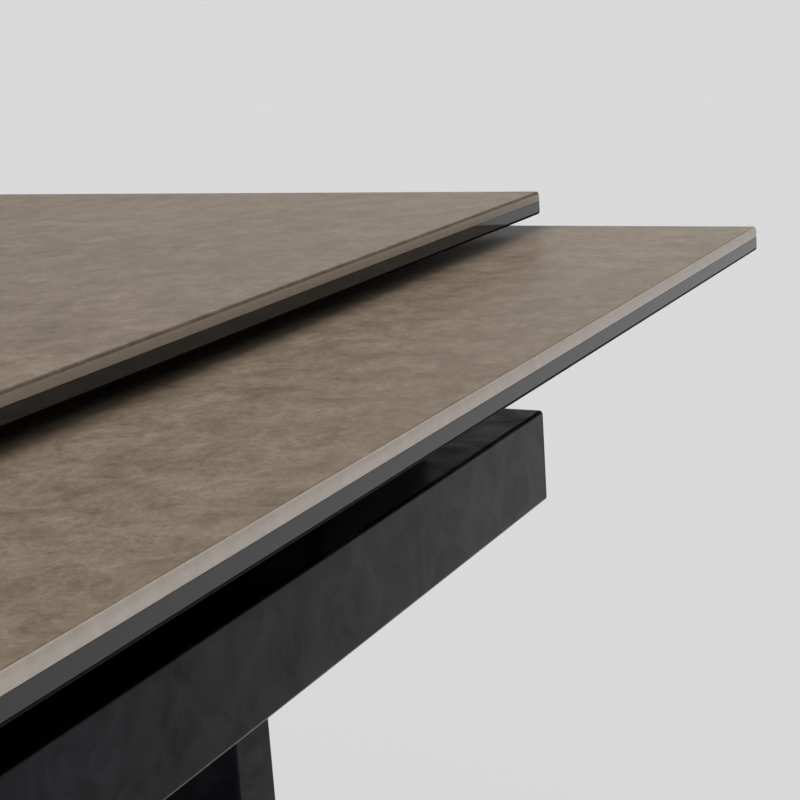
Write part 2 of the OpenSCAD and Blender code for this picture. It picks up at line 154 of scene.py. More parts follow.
class StageSettings(bpy.types.PropertyGroup):
    """Camera, light and floor"""

    camera_place: bpy.props.FloatVectorProperty(
        name="Camera Place", description="Where the camera stands",
        subtype="TRANSLATION", size=3, unit="LENGTH", default=(1.14194, -0.38779, 0.87452))
    camera_turn: bpy.props.FloatVectorProperty(
        name="Camera Turn", description="How the camera is turned",
        subtype="EULER", size=3, unit="ROTATION",
        default=(math.radians(76.15), math.radians(3.789), math.radians(26.365)))
    lens: bpy.props.FloatProperty(
        name="Lens", description="Focal length of the camera in millimetres",
        default=77.62, min=1.0)
    floor_radius: bpy.props.FloatProperty(
        name="Floor Radius", description="Radius of the round floor",
        default=120.0, min=5.0, subtype="DISTANCE", unit="LENGTH")
    floor_shade: bpy.props.FloatVectorProperty(
        name="Floor Shade", description="Colour of the floor",
        subtype="COLOR", size=4, min=0.0, max=1.0, default=(0.80, 0.80, 0.80, 1.0))
    backdrop_shade: bpy.props.FloatVectorProperty(
        name="Backdrop Shade", description="Colour seen behind the table",
        subtype="COLOR", size=4, min=0.0, max=1.0, default=(0.694, 0.694, 0.694, 1.0))
    glow_strength: bpy.props.FloatProperty(
        name="Glow Strength", description="Light that the backdrop sheds on the table",
        default=1.75, min=0.0)
    glow_left: bpy.props.FloatProperty(
        name="Glow Left", description="Share of that light on the left",
        default=0.38, min=0.0, max=1.0)
    glow_right: bpy.props.FloatProperty(
        name="Glow Right", description="Share of that light on the right",
        default=0.14, min=0.0, max=1.0)
    surround_shade: bpy.props.FloatVectorProperty(
        name="Surround Shade", description="Dim light from all round the studio",
        subtype="COLOR", size=4, min=0.0, max=1.0, default=(0.011, 0.011, 0.013, 1.0))
    backdrop_rise: bpy.props.FloatProperty(
        name="Backdrop Rise", description="Height of the lit backdrop above the horizon, as an angle",
        default=math.radians(12), min=0.01, max=math.pi / 2, subtype="ANGLE", unit="ROTATION")
    key_strength: bpy.props.FloatProperty(
        name="Key Strength", description="Strength of the overhead light",
        default=2.22, min=0.0)
    key_spread: bpy.props.FloatProperty(
        name="Key Spread", description="Angle that the overhead light fills, seen from the table",
        default=math.radians(50), min=0.01, max=math.pi, subtype="ANGLE", unit="ROTATION")
    key_lean: bpy.props.FloatProperty(
        name="Key Lean", description="How far the overhead light leans to the left",
        default=math.radians(26), min=0.0, max=math.pi / 2, subtype="ANGLE", unit="ROTATION")
    fill_strength: bpy.props.FloatProperty(
        name="Fill Strength", description="Strength of the wide light from above",
        default=0.60, min=0.0)
    fill_spread: bpy.props.FloatProperty(
        name="Fill Spread", description="Angle that the wide light fills, seen from the table",
        default=math.radians(120), min=0.01, max=math.pi, subtype="ANGLE", unit="ROTATION")


GROUPS = {
    "table_slabs": SlabSettings,
    "table_frame": FrameSettings,
    "table_finish": FinishSettings,
    "table_stage": StageSettings,
}


def settings(group):
    """The scene's settings of that group."""
    return getattr(bpy.context.scene, group)


# ---------------------------------------------------------------- materials


class Nodes:
    """A node tree, with short calls for the nodes that the finishes and the surround share."""

    def __init__(self, tree):
        self.nodes = tree.nodes
        self.links = tree.links

    def join(self, source, target):
        """Links an output to an input."""
        self.links.new(source, target)

    def spread(self, source, low, high, to_low=0.0, to_high=1.0, smooth=False):
        """The source's range from low to high, carried to another range."""
        node = self.nodes.new("ShaderNodeMapRange")
        node.interpolation_type = "SMOOTHSTEP" if smooth else "LINEAR"
        node.inputs["From Min"].default_value = low
        node.inputs["From Max"].default_value = high
        node.inputs["To Min"].default_value = to_low
        node.inputs["To Max"].default_value = to_high
        self.join(source, node.inputs["Value"])
        return node.outputs["Result"]

    def tones(self, source, stops):
        """A colour ramp: stops are (place, colour) pairs."""
        node = self.nodes.new("ShaderNodeValToRGB")
        ramp = node.color_ramp
        while len(ramp.elements) < len(stops):
            ramp.elements.new(0.5)
        for element, (place, colour) in zip(ramp.elements, stops):
            element.position = place
            element.color = colour
        self.join(source, node.inputs["Fac"])
        return node.outputs["Color"]

    def mixed(self, factor, first, second, blend="MIX"):
        """Two colours mixed; the factor and each colour is a socket or a value."""
        node = self.nodes.new("ShaderNodeMix")
        node.data_type = "RGBA"
        node.blend_type = blend
        # A colour mix takes its factor on socket 0 and its colours on 6 and 7, and gives 2.
        for index, value in ((0, factor), (6, first), (7, second)):
            if isinstance(value, bpy.types.NodeSocket):
                self.join(value, node.inputs[index])
            else:
                node.inputs[index].default_value = value
        return node.outputs[2]


class Recipe(Nodes):
    """A material on its way: its node tree and its shader."""

    def __init__(self, name):
        self.material = bpy.data.materials.new(name)
        self.material.use_nodes = True
        super().__init__(self.material.node_tree)
        self.shader = self.nodes["Principled BSDF"]
        self.place = self.nodes.new("ShaderNodeTexCoord").outputs["Object"]

    def stretched(self, scale):
        """The place on the piece, scaled by axis."""
        node = self.nodes.new("ShaderNodeMapping")
        node.inputs["Scale"].default_value = scale
        self.join(self.place, node.inputs["Vector"])
        return node.outputs["Vector"]

    def clouds(self, scale, detail=4.0, roughness=0.55, distortion=0.0, place=None):
        """A soft noise from 0 to 1."""
        node = self.nodes.new("ShaderNodeTexNoise")
        node.inputs["Scale"].default_value = scale
        node.inputs["Detail"].default_value = detail
        node.inputs["Roughness"].default_value = roughness
        node.inputs["Distortion"].default_value = distortion
        self.join(place or self.place, node.inputs["Vector"])
        return node.outputs["Fac"]

    def summed(self, first, second, share):
        """first plus share times second."""
        node = self.nodes.new("ShaderNodeMath")
        node.operation = "MULTIPLY_ADD"
        self.join(second, node.inputs[0])
        node.inputs[1].default_value = share
        self.join(first, node.inputs[2])
        return node.outputs[0]

    def relief(self, height, strength, distance):
        """Bumps the surface by a height."""
        node = self.nodes.new("ShaderNodeBump")
        node.inputs["Strength"].default_value = strength
        node.inputs["Distance"].default_value = distance
        self.join(height, node.inputs["Height"])
        self.join(node.outputs["Normal"], self.shader.inputs["Normal"])

    def colour(self, source):
        """Gives the surface a varying colour."""
        self.join(source, self.shader.inputs["Base Color"])

    def roughness(self, source):
        """Gives the surface a varying roughness."""
        self.join(source, self.shader.inputs["Roughness"])

    def sheen(self, source):
        """Gives the surface a varying strength of reflection."""
        self.join(source, self.shader.inputs["Specular IOR Level"])

    def fixed(self, **values):
        """Sets uniform values on the shader's own sockets."""
        for name, value in values.items():
            self.shader.inputs[name.replace("_", " ")].default_value = value


def faded(colour, factor):
    """The colour, lightened or darkened by a factor."""
    return (*(min(1.0, c * factor) for c in colour[:3]), 1.0)


def ceramic_face():
    """Taupe stone print under a satin glaze: wide soft clouds, veils and a fine grain."""
    shades = settings("table_finish")
    recipe = Recipe("ceramic_face")
    clouds = recipe.clouds(7.0, detail=3.0, roughness=0.55)
    veils = recipe.clouds(50.0, detail=5.0, roughness=0.94, distortion=0.3)
    pattern = recipe.summed(veils, clouds, 0.2)
    low, high = 0.43, 0.77
    colour = recipe.tones(recipe.spread(pattern, low, high), (
        (0.0, shades.stone_dark), (0.5, shades.stone_mid), (1.0, shades.stone_light)))
    grain = recipe.clouds(420.0, detail=3.0, roughness=0.7)
    colour = recipe.mixed(0.5, colour, recipe.tones(grain, (
        (0.30, (0.40, 0.40, 0.40, 1.0)), (0.70, (0.60, 0.60, 0.60, 1.0)))), "OVERLAY")
    recipe.colour(colour)
    recipe.roughness(recipe.spread(recipe.summed(veils, grain, 0.3), 0.4, 0.9, 0.35, 0.45))
    recipe.sheen(recipe.spread(pattern, low, high, 0.38, 0.62))
    recipe.fixed(IOR=1.5)
    recipe.relief(recipe.summed(grain, veils, 0.5), 0.12, 0.4 * MM)
    return recipe.material


def ground_edge(name, body):
    """Ground and polished edge of a ceramic slab, which shows its body."""
    recipe = Recipe(name)
    grain = recipe.clouds(160.0, detail=4.0, roughness=0.65)
    recipe.colour(recipe.tones(grain, ((0.30, faded(body, 0.92)), (0.70, faded(body, 1.07)))))
    recipe.roughness(recipe.spread(grain, 0.3, 0.7, 0.36, 0.48))
    recipe.relief(recipe.clouds(900.0, detail=2.0), 0.06, 0.2 * MM)
    return recipe.material


def leaf_edge():
    """Ground edge of a leaf's ceramic."""
    return ground_edge("leaf_edge", settings("table_finish").leaf_body)


def main_edge():
    """Ground edge of the main top's ceramic, in a darker copy of the leaf's body colour: painted shade
    where the leaf below keeps the floor's light off this edge.
    """
    return ground_edge("main_edge", settings("table_finish").main_body)


def dark_glass():
    """Black painted glass with finely ground edges."""
    shades = settings("table_finish")
    recipe = Recipe("dark_glass")
    film = recipe.clouds(30.0, detail=3.0, roughness=0.5)
    grind = recipe.clouds(240.0, detail=3.0, roughness=0.6)
    recipe.colour(recipe.tones(film, (
        (0.35, faded(shades.glass, 0.85)), (0.65, faded(shades.glass, 1.2)))))
    recipe.roughness(recipe.spread(grind, 0.3, 0.7, 0.20, 0.28))
    recipe.sheen(recipe.spread(film, 0.35, 0.65, 0.44, 0.56))
    recipe.fixed(IOR=1.275, Specular_Tint=shades.sheen_tint)
    return recipe.material


def glass_arris():
    """Matt black lower arris of the glass, ground before it was painted."""
    shades = settings("table_finish")
    recipe = Recipe("glass_arris")
    grain = recipe.clouds(900.0, detail=3.0, roughness=0.6)
    recipe.colour(recipe.tones(grain, (
        (0.3, faded(shades.glass, 0.8)), (0.7, faded(shades.glass, 1.6)))))
    recipe.roughness(recipe.spread(grain, 0.3, 0.7, 0.6, 0.75))
    recipe.fixed(Specular_IOR_Level=0.06)
    recipe.relief(grain, 0.1, 0.1 * MM)
    return recipe.material


def powder_coat():
    """Satin black powder coat: cloudy sheen over a fine orange peel."""
    shades = settings("table_finish")
    recipe = Recipe("powder_coat")
    patches = recipe.clouds(34.0, detail=6.0, roughness=0.66, distortion=1.2)
    peel = recipe.clouds(780.0, detail=2.0, roughness=0.5)
    recipe.colour(recipe.tones(patches, (
        (0.30, faded(shades.coat, 0.6)), (0.52, shades.coat), (0.74, faded(shades.coat, 2.1)))))
    recipe.roughness(recipe.spread(patches, 0.3, 0.72, 0.13, 0.22))
    recipe.sheen(recipe.spread(patches, 0.34, 0.68, 0.34, 0.66))
    recipe.fixed(IOR=1.25, Specular_Tint=shades.sheen_tint)
    recipe.relief(recipe.summed(peel, patches, 0.4), 0.035, 0.4 * MM)
    return recipe.material


def zinc_plate():
    """Bright zinc with rolling marks and dull patches."""
    shades = settings("table_finish")
    recipe = Recipe("zinc_plate")
    dull = recipe.clouds(60.0, detail=5.0, roughness=0.6)
    along_the_runner = recipe.stretched((0.15, 4.0, 4.0))
    marks = recipe.clouds(90.0, detail=3.0, roughness=0.6, place=along_the_runner)
    recipe.colour(recipe.tones(recipe.summed(dull, marks, 0.5), (
        (0.45, faded(shades.zinc, 0.78)), (1.0, faded(shades.zinc, 1.08)))))
    recipe.roughness(recipe.spread(marks, 0.3, 0.7, 0.28, 0.44))
    recipe.fixed(Metallic=1.0)
    recipe.relief(marks, 0.05, 0.2 * MM)
    return recipe.material


def moulded(name, roughness_low, roughness_high, shade):
    """Moulded plastic or rubber with a spark-eroded grain."""
    recipe = Recipe(name)
    colour = settings("table_finish").plastic
    tint = recipe.clouds(80.0, detail=3.0, roughness=0.6)
    sparks = recipe.clouds(1600.0, detail=2.0, roughness=0.5)
    recipe.colour(recipe.tones(tint, (
        (0.3, faded(colour, 0.8 * shade)), (0.7, faded(colour, 1.3 * shade)))))
    recipe.roughness(recipe.spread(tint, 0.3, 0.7, roughness_low, roughness_high))
    recipe.relief(sparks, 0.2, 0.2 * MM)
    return recipe.material


def black_plastic():
    """Plugs, spacers and foot pads."""
    return moulded("black_plastic", 0.42, 0.56, 1.0)


def black_rubber():
    """Buffers and bonding pads."""
    return moulded("black_rubber", 0.68, 0.82, 0.8)


def studio_floor():
    """Pale matte floor."""
    recipe = Recipe("studio_floor")
    shade = settings("table_stage").floor_shade
    recipe.colour(recipe.tones(recipe.clouds(0.8, detail=2.0), (
        (0.3, faded(shade, 0.995)), (0.7, faded(shade, 1.005)))))
    recipe.fixed(Roughness=0.9, Specular_IOR_Level=0.0)
    return recipe.material


def finish(maker):
    """The finish's material, made on first use."""
    return bpy.data.materials.get(maker.__name__) or maker()


# ---------------------------------------------------------------- mesh tools


def add_piece(name, bm, body, makers, replaces=(), cleaned=True):
    """Turns a bmesh into a shaded piece of the object."""
    if cleaned:
        bmesh.ops.remove_doubles(bm, verts=bm.verts, dist=SAME_POINT)
    bmesh.ops.recalc_face_normals(bm, faces=bm.faces)
    mesh = bpy.data.meshes.new(name)
    bm.to_mesh(mesh)
    bm.free()
    mesh.polygons.foreach_set("use_smooth", [True] * len(mesh.polygons))
    mesh.set_sharp_from_angle(angle=SHARP)
    for maker in makers:
        mesh.materials.append(finish(maker))
    piece = bpy.data.objects.new(name, mesh)
    bpy.context.scene.collection.objects.link(piece)
    evened = piece.modifiers.new("evened_normals", "WEIGHTED_NORMAL")
    evened.keep_sharp = True
    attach(piece, body)
    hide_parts(*replaces)


def coat_nodes(maker, slot, *nodes):
    """Gives CAD nodes, whose shape stays, a finish."""
    for node in nodes:
        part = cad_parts[node]
        part.data.materials.clear()
        part.data.materials.append(finish(maker))


def loft(bm, rings):
    """Skins rings of equal point counts, and closes both ends."""
    made = [[bm.verts.new(point) for point in ring] for ring in rings]
    for low, high in zip(made, made[1:]):
        for i in range(len(low)):
            j = (i + 1) % len(low)
            bm.faces.new((low[i], low[j], high[j], high[i]))
    bm.faces.new(list(reversed(made[0])))
    bm.faces.new(made[-1])


def rounded_outline(half_u, half_v, radius, steps=6):
    """Points round a rectangle with round corners, as (u, v) pairs."""
    radius = min(radius, half_u, half_v)
    points = []
    for quarter, (su, sv) in enumerate(((1, 1), (-1, 1), (-1, -1), (1, -1))):
        for step in range(steps + 1):
            angle = math.radians(90 * (quarter + step / steps))
            points.append((su * (half_u - radius) + radius * math.cos(angle),
                           sv * (half_v - radius) + radius * math.sin(angle)))
    return points


def eased(inset, fall=None, steps=3):
    """A quarter round from a side to its face, as (inset, depth) pairs."""
    fall = inset if fall is None else fall
    turns = [math.radians(90 * step / steps) for step in range(steps + 1)]
    return [(inset * (1 - math.cos(turn)), fall * (1 - math.sin(turn))) for turn in turns]


def axes_of(axis):
    """The two other axes of an axis, in turning order."""
    return (axis + 1) % 3, (axis + 2) % 3


def rounded_block(bm, low, high, axis, corner, low_edge, high_edge):
    """A block along an axis, with round corners and with its two ends eased."""
    u, v = axes_of(axis)
    centre = (low + high) / 2
    half = (high - low) / 2
    levels = [(inset, low[axis] + depth) for inset, depth in reversed(low_edge)]
    levels += [(inset, high[axis] - depth) for inset, depth in high_edge]
    rings = []
    for inset, level in levels:
        ring = []
        radius = max(corner - inset, LEAST_CORNER)
        for pu, pv in rounded_outline(half[u] - inset, half[v] - inset, radius):
            point = Vector((0.0, 0.0, 0.0))
            point[axis] = level
            point[u] = centre[u] + pu
            point[v] = centre[v] + pv
            ring.append(point)
        rings.append(ring)
    loft(bm, rings)


def solids_of(node):
    """The points of each separate solid in a CAD node, sorted by place."""
    bm = bmesh.new()
    bm.from_mesh(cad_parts[node].data)
    bmesh.ops.remove_doubles(bm, verts=bm.verts, dist=SAME_POINT)
    met = set()
    solids = []
    for first in bm.verts:
        if first in met:
            continue
        met.add(first)
        group = [first]
        for vert in group:
            for edge in vert.link_edges:
                other = edge.other_vert(vert)
                if other not in met:
                    met.add(other)
                    group.append(other)
        solids.append([vert.co.copy() for vert in group])
    bm.free()
    return sorted(solids, key=lambda points: tuple(round(c, 4) for c in corners_of(points)[0]))


def corners_of(points):
    """Lowest and highest corner of some points."""
    low = Vector(min(p[i] for p in points) for i in range(3))
    high = Vector(max(p[i] for p in points) for i in range(3))
    return low, high


def fastening_frame(points):
    """A matrix that stands on a bolt's or screw's head with +Z out of it, and the whole length."""
    low, high = corners_of(points)
    size = high - low
    axis = max(range(3), key=lambda i: size[i])
    u, v = axes_of(axis)
    centre = (low + high) / 2

    def width(level):
        end = [p for p in points if abs(p[axis] - level) < SAME_POINT]
        return max(abs(p[u] - centre[u]) + abs(p[v] - centre[v]) for p in end)

    sign = 1 if width(high[axis]) > width(low[axis]) else -1
    out = Vector((0.0, 0.0, 0.0))
    out[axis] = sign
    tip = centre.copy()
    tip[axis] = high[axis] if sign > 0 else low[axis]
    turn = Vector((0, 0, 1)).rotation_difference(out).to_matrix().to_4x4()
    return Matrix.Translation(tip) @ turn, size[axis]


def lathe(bm, profile, matrix, segments, shape=None):
    """Turns (radius, height) pairs round Z; shape may change a pair by angle and by its index."""
    rings = []
    for index, (radius, height) in enumerate(profile):
        ring = []
        for step in range(segments):
            angle = 2 * math.pi * step / segments
            r, h = shape(radius, height, angle, index) if shape else (radius, height)
            ring.append(matrix @ Vector((r * math.cos(angle), r * math.sin(angle), h)))
        rings.append(ring)
    loft(bm, rings)


def thread(start, turns, pitch, root_r, crest_r):
    """A thread's (radius, height) pairs: a root and a crest for each turn, from start upwards."""
    pairs = []
    for turn in range(turns):
        pairs.append((root_r, start + turn * pitch))
        pairs.append((crest_r, start + (turn + 0.5) * pitch))
    return pairs


# ---------------------------------------------------------------- pieces


def slab_pair(prefix, body, ceramic_node, glass_node, edge_maker, print_depth):
    """A ceramic slab, printed on its face and part of its edge, and the glass under it."""
    sizes = settings("table_slabs")
    seam = eased(sizes.seam, steps=1)
    low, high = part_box(ceramic_node)
    bm = bmesh.new()
    rounded_block(bm, low, high, 2, sizes.corner_radius, seam,
                  eased(sizes.ceramic_ease, sizes.ceramic_fall, steps=8))
    for face in bm.faces:
        face.material_index = 0 if face.calc_center_median().z > high.z - print_depth else 1
    add_piece(prefix + "_ceramic_slab", bm, body,
              (ceramic_face, edge_maker), (ceramic_node,))
    low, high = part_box(glass_node)
    bm = bmesh.new()
    rounded_block(bm, low, high, 2, sizes.corner_radius, eased(sizes.glass_round, steps=5), seam)
    for face in bm.faces:
        face.material_index = 1 if face.calc_center_median().z < low.z + sizes.glass_round else 0
    add_piece(prefix + "_glass_sheet", bm, body,
              (dark_glass, glass_arris), (glass_node,))


def moulded_blocks(name, node, body, maker, axis=2):
    """One eased block for each solid of a node."""
    edge = settings("table_frame").moulded_edge
    bm = bmesh.new()
    for points in solids_of(node):
        low, high = corners_of(points)
        rounded_block(bm, low, high, axis, 2 * edge, eased(edge), eased(edge))
    add_piece(name, bm, body, (maker,), (node,))


def weld_bead(bm, start, end, side_a, side_b):
    """A rippled fillet from start to end in the corner between directions side_a and side_b."""
    sizes = settings("table_frame")
    ripple_steps, arc_steps = 4, 4
    root_depth = 0.2 * MM
    # A bead starts and ends at end_share of its size, and its face dips by the share hollow.
    end_share, end_growth = 0.55, 6.0
    ripple_rise, hollow = 0.10, 0.28
    run = end - start
    count = max(4, int(run.length / sizes.weld_ripple)) * ripple_steps
    rings = []
    for step in range(count + 1):
        along = step / count
        ripple = 1.0 + ripple_rise * abs(math.sin(math.pi * step / ripple_steps))
        size = sizes.weld_size * min(1.0, end_share + end_growth * min(along, 1 - along))
        at = start + run * along
        ring = [at - root_depth * (side_a + side_b)]
        for turn in range(arc_steps + 1):
            angle = math.radians(90 * turn / arc_steps)
            bulge = size * (ripple if 0 < turn < arc_steps else 1.0)
            bulge *= 1 - hollow + hollow * abs(math.cos(2 * angle))
            ring.append(at + bulge * (side_a * math.cos(angle) + side_b * math.sin(angle)))
        rings.append(ring)
    loft(bm, rings)


def frame_welds():
    """Beads where the end beams meet the side rails and where the leg tubes meet."""
    end_gap = 4.0 * MM
    bm = bmesh.new()
    for end, sign in ENDS.items():
        beam_low, beam_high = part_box("end_beam_" + end)
        face_x = beam_low.x if sign > 0 else beam_high.x
        for row, out in ROWS.items():
            rail_low, rail_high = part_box("side_rail_" + row)
            face_y = rail_low.y if out > 0 else rail_high.y
            inset = Vector((0, 0, end_gap))
            weld_bead(bm, Vector((face_x, face_y, rail_low.z)) + inset,
                      Vector((face_x, face_y, rail_high.z)) - inset,
                      Vector((-sign, 0, 0)), Vector((0, -out, 0)))
            post_low, post_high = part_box(end + "_upright_" + row)
            inner_y = post_low.y if out > 0 else post_high.y
            for level, up in ((post_low.z, 1), (post_high.z, -1)):
                inset = Vector((end_gap, 0, 0))
                weld_bead(bm, Vector((post_low.x, inner_y, level)) + inset,
                          Vector((post_high.x, inner_y, level)) - inset,
                          Vector((0, -out, 0)), Vector((0, 0, up)))
    add_piece("frame_weld_beads", bm, "base", (powder_coat,))


def tie_welds(end, sign):
    """Beads where a leaf's tie bar meets its arms."""
    tie_low, tie_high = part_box(end + "_tie_bar")
    face_x = tie_high.x if sign > 0 else tie_low.x
    end_gap = 3.0 * MM
    inset = Vector((0, 0, end_gap))
    bm = bmesh.new()
    for face_y, out in ((tie_low.y, -1), (tie_high.y, 1)):
        weld_bead(bm, Vector((face_x, face_y, tie_low.z)) + inset,
                  Vector((face_x, face_y, tie_high.z)) - inset,
                  Vector((sign, 0, 0)), Vector((0, -out, 0)))
    add_piece(end + "_tie_weld_beads", bm, end + "_leaf", (powder_coat,))


def tube_plugs(name, node, body, plug_axis):
    """Tube plugs: a flange with an eased face, on a stub that fills the tube's end."""
    edge = settings("table_frame").moulded_edge
    flange_corner, stub_corner = 2.0 * MM, 1.0 * MM
    bm = bmesh.new()
    for points in solids_of(node):
        low, high = corners_of(points)
        axis = plug_axis(low, high)
        outward = 1 if low[axis] + high[axis] > 0 else -1
        levels = sorted({round(p[axis], 5) for p in points}, key=lambda level: level * outward)
        seat = levels[-2]
        stub = [p for p in points if abs(p[axis] - levels[0]) < SAME_POINT]
        stub_low, stub_high = corners_of(stub)
        face_low, face_high = low.copy(), high.copy()
        if outward > 0:
            face_low[axis], stub_high[axis] = seat, seat
        else:
            face_high[axis], stub_low[axis] = seat, seat
        plain, soft = [(0.0, 0.0)], eased(edge)
        edges = (plain, soft) if outward > 0 else (soft, plain)
        rounded_block(bm, face_low, face_high, axis, flange_corner, *edges)
        rounded_block(bm, stub_low, stub_high, axis, stub_corner, *reversed(edges))
    add_piece(name, bm, body, (black_plastic,), (node,), cleaned=False)


def hexagon(radius, angle):
    """Distance from the middle to a hexagon's side at that angle; radius is at a corner."""
    half_side = math.radians(30)
    return radius * math.cos(half_side) / math.cos((angle + half_side) % (2 * half_side) - half_side)


def hex_bolts(name, node, body):
    """Bolts with chamfered hexagon heads and a cut thread."""
    sizes = settings("table_frame")
    head_r, head_h, shank_r = 6.5 * MM, 5.0 * MM, 4.0 * MM
    seat_h, chamfer_h, dish_h = 0.2 * MM, 0.35 * MM, 0.3 * MM
    tip_taper, thread_start, plain_shank = 0.5 * MM, 0.6 * MM, 2.0 * MM
    flat_r = head_r * math.cos(math.radians(30))
    root_r = shank_r - sizes.thread_depth

    # Pairs 1 and 2 of the head's profile are the hexagon's rims; the outer one is chamfered.
    def head(radius, height, angle, index):
        if index not in (1, 2):
            return radius, height
        side = hexagon(head_r, angle)
        chamfer = (side - flat_r) * math.tan(math.radians(30)) if index == 2 else 0.0
        return side, height - chamfer

    head_profile = ((0.97 * flat_r, -head_h), (head_r, seat_h - head_h), (head_r, -chamfer_h),
                    (0.96 * flat_r, 0.0), (0.55 * flat_r, 0.0), (0.45 * flat_r, -dish_h))
    bm = bmesh.new()
    for points in solids_of(node):
        matrix, length = fastening_frame(points)
        lathe(bm, head_profile, matrix, segments=36, shape=head)
        turns = int((length - head_h - plain_shank) / sizes.thread_pitch)
        turned = thread(thread_start - length, turns, sizes.thread_pitch, root_r, shank_r)
        shank_profile = ((root_r - tip_taper, -length), *turned, (shank_r, -head_h))
        lathe(bm, shank_profile, matrix, segments=20)
    add_piece(name, bm, body, (zinc_plate,), (node,), cleaned=False)


def socket_screws(name, node, body, countersunk):
    """Small screws with a hexagon recess."""
    head_r, shank_r, recess_r = 3.5 * MM, 2.0 * MM, 1.3 * MM
    head_h = 1.8 * MM if countersunk else 1.6 * MM
    side_r = shank_r if countersunk else head_r
    root_r, tip_r = 0.82 * shank_r, 0.7 * shank_r
    head_ease, recess_rim, recess_ease, recess_depth = 0.25 * MM, 0.5 * MM, 0.2 * MM, 1.0 * MM
    pitch = 0.7 * MM

    # The recess has six sides from pair 5 of the head's profile on.
    def recess(radius, height, angle, index):
        return (hexagon(radius, angle) if index >= 5 else radius), height

    head_profile = ((side_r, -head_h), (head_r, -head_ease), (head_r - head_ease, 0.0),
                    (recess_r + recess_rim, 0.0), (recess_r + recess_ease, 0.0),
                    (recess_r, -0.5 * recess_ease), (recess_r, -recess_depth))
    bm = bmesh.new()
    for points in solids_of(node):
        matrix, length = fastening_frame(points)
        lathe(bm, head_profile, matrix, segments=24, shape=recess)
        turns = int((length - head_h) / pitch) - 1
        turned = thread(0.4 * pitch - length, turns, pitch, root_r, shank_r)
        shank_profile = ((tip_r, -length), *turned, (shank_r, -head_h))
        lathe(bm, shank_profile, matrix, segments=16)
    add_piece(name, bm, body, (zinc_plate,), (node,), cleaned=False)


def levelling_feet():
    """Plastic foot pads, each on a hexagon nut and a threaded stud."""
    sizes = settings("table_frame")
    sole_r, rim_r, pad_r, dome_r, neck_r = 17.5 * MM, 18.5 * MM, 20.0 * MM, 14.0 * MM, 9.0 * MM
    nut_r, nut_face_r, nut_ease, stud_r = 7.0 * MM, 5.9 * MM, 0.3 * MM, 4.0 * MM
    pad_h, nut_h = 6.0 * MM, 4.0 * MM
    nut_top = pad_h + nut_h
    pad_profile = ((sole_r, 0.0), (rim_r, 0.3 * MM), (rim_r, 1.2 * MM), (pad_r, 1.4 * MM),
                   (pad_r, 3.2 * MM), (pad_r - 0.6 * MM, 4.0 * MM), (dome_r, 5.2 * MM), (neck_r, pad_h))
    nut_profile = ((nut_face_r, pad_h), (nut_r, pad_h + nut_ease),
                   (nut_r, nut_top - nut_ease), (nut_face_r, nut_top))
    root_r = stud_r - sizes.thread_depth

    # Pairs 1 and 2 of the nut's profile are the hexagon's rims.
    def nut(radius, height, angle, index):
        return (hexagon(radius, angle) if index in (1, 2) else radius), height

    pads, studs = bmesh.new(), bmesh.new()
    for points in solids_of("levelling_feet"):
        low, high = corners_of(points)
        foot = Matrix.Translation(((low.x + high.x) / 2, (low.y + high.y) / 2, 0.0))
        lathe(pads, pad_profile, foot, segments=48)
        lathe(studs, nut_profile, foot, segments=36, shape=nut)
        turns = int((high.z - nut_top) / sizes.thread_pitch) - 1
        turned = thread(nut_top + 0.5 * sizes.thread_pitch, turns, sizes.thread_pitch, root_r, stud_r)
        lathe(studs, ((stud_r, nut_top), *turned, (root_r, high.z)), foot, segments=20)
    for name, bm, slot, maker in (("foot_pads", pads, "black_plastic", black_plastic),
                                  ("foot_studs", studs, "zinc_steel", zinc_plate)):
        add_piece(name, bm, "base", (maker,), ("levelling_feet",), cleaned=False)


# ---------------------------------------------------------------- stage


def add_camera(scene, stage):
    """The camera, close to the table's right end, looking across it to the far corner."""
    camera = bpy.data.objects.new("camera", bpy.data.cameras.new("camera"))
    scene.collection.objects.link(camera)
    camera.location = stage.camera_place
    camera.rotation_euler = stage.camera_turn
    camera.data.lens = stage.lens
    camera.data.clip_start = 20.0 * MM
    camera.data.clip_end = 2 * stage.floor_radius
    scene.camera = camera


def add_surround(scene, stage):
    """A backdrop that glows above the horizon and dims to both sides, seen as one plain shade."""
    world = bpy.data.worlds.new("surround")
    world.use_nodes = True
    tree = Nodes(world.node_tree)
    surround = tree.nodes["Background"]
    surround.inputs["Strength"].default_value = stage.glow_strength
    direction = tree.nodes.new("ShaderNodeSeparateXYZ")
    tree.join(tree.nodes.new("ShaderNodeTexCoord").outputs["Generated"], direction.inputs["Vector"])
    soft_from = 0.85
    height = tree.spread(direction.outputs["Z"], math.sin(soft_from * stage.backdrop_rise),
                         math.sin(stage.backdrop_rise), smooth=True)
    # Places run from 0 on the far left to 1 on the far right.
    glow = tree.tones(tree.spread(direction.outputs["X"], -1.0, 1.0), [
        (place, (share, share, share, 1.0)) for place, share in (
            (0.17, stage.glow_left), (0.42, 1.0), (0.57, 1.0), (0.72, stage.glow_right))])
    tree.join(tree.mixed(height, glow, stage.surround_shade), surround.inputs["Color"])
    backdrop = tree.nodes.new("ShaderNodeBackground")
    backdrop.inputs["Color"].default_value = stage.backdrop_shade
    seen = tree.nodes.new("ShaderNodeMixShader")
    tree.join(tree.nodes.new("ShaderNodeLightPath").outputs["Is Camera Ray"], seen.inputs["Fac"])
    tree.join(surround.outputs["Background"], seen.inputs[1])
    tree.join(backdrop.outputs["Background"], seen.inputs[2])
    tree.join(seen.outputs["Shader"], tree.nodes["World Output"].inputs["Surface"])
    scene.world = world


